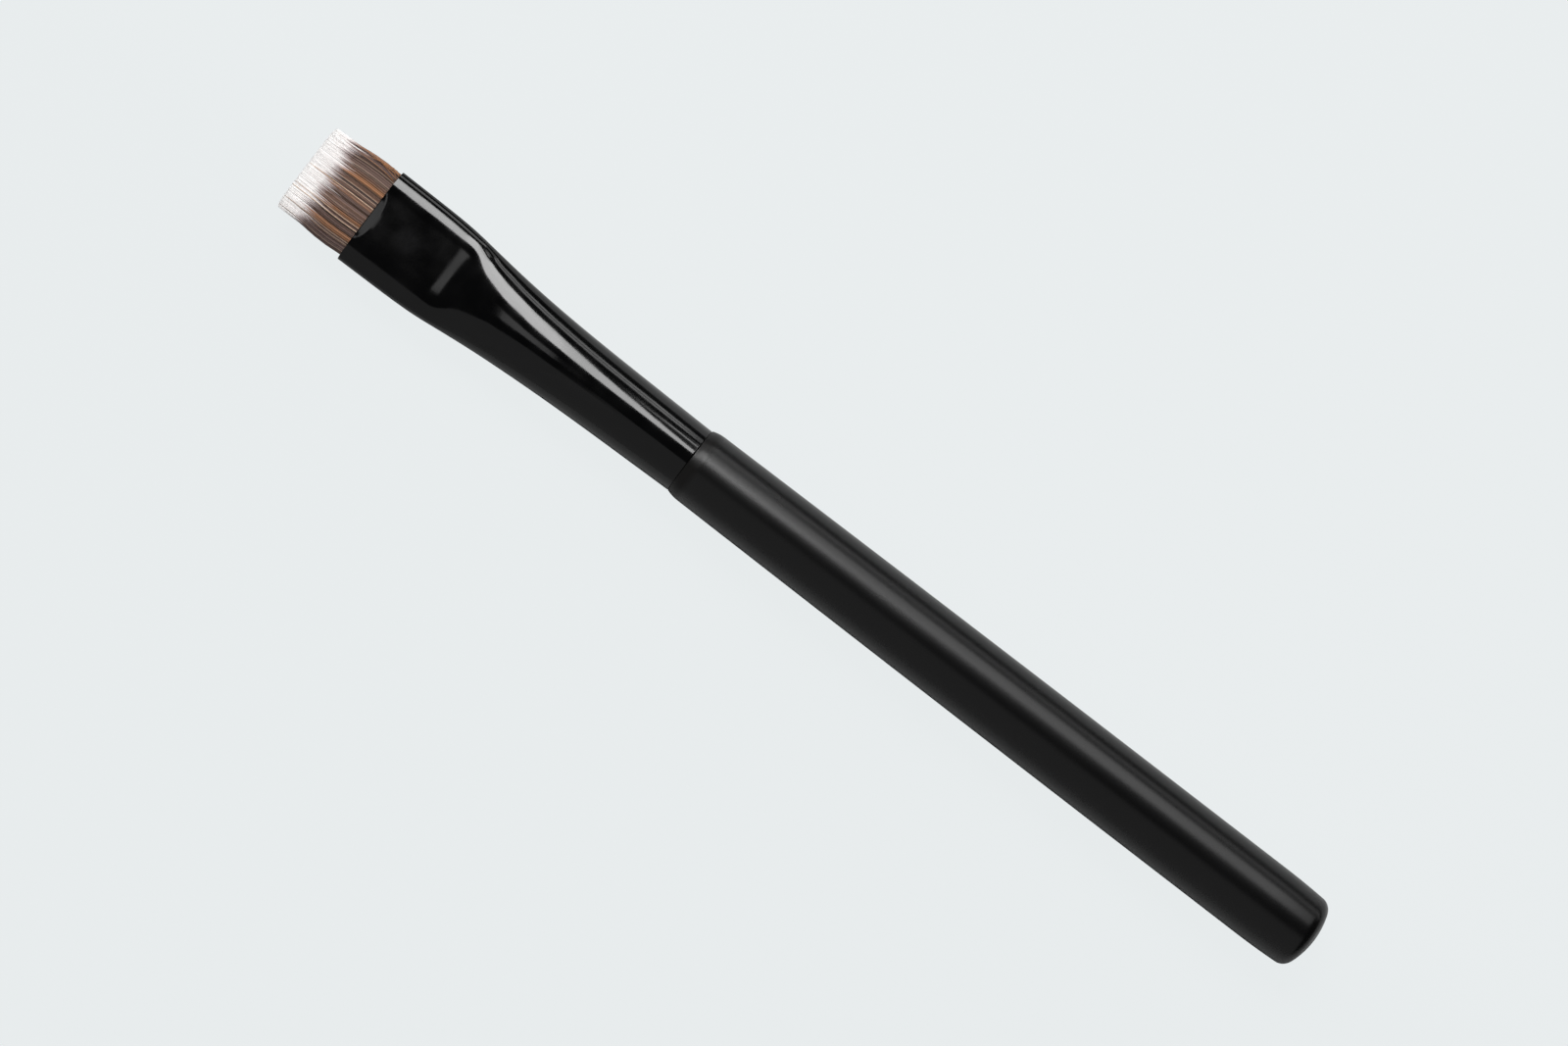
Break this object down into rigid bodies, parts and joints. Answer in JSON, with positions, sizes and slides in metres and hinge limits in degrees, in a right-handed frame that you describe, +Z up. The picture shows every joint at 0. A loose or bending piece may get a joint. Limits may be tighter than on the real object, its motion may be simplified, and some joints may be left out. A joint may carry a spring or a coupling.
{
  "type": "eyeliner brush",
  "caption": "Flat eyeliner brush with a black lacquered wooden handle, a gloss black metal ferrule pressed flat at its mouth, and a short straight tuft of soft filaments.",
  "frame": {"origin": "on the floor, under the middle of the brush's overall length, with the brush lying on its handle", "axes": "+X along the brush from the tuft to the butt end, +Y across the brush, over the broad faces of its head, +Z up"},
  "size_m": [0.1296, 0.011, 0.0084],
  "materials": {
    "black_lacquer": "satin black lacquer",
    "black_ferrule": "gloss black",
    "root_glue": "clear amber resin",
    "filaments": "brown filaments with soft white tips"
  },
  "bodies": {
    "root": {"handle": "black_lacquer", "ferrule": "black_ferrule", "root_resin": "root_glue", "bristle_tuft": "filaments"}
  },
  "joints": []
}
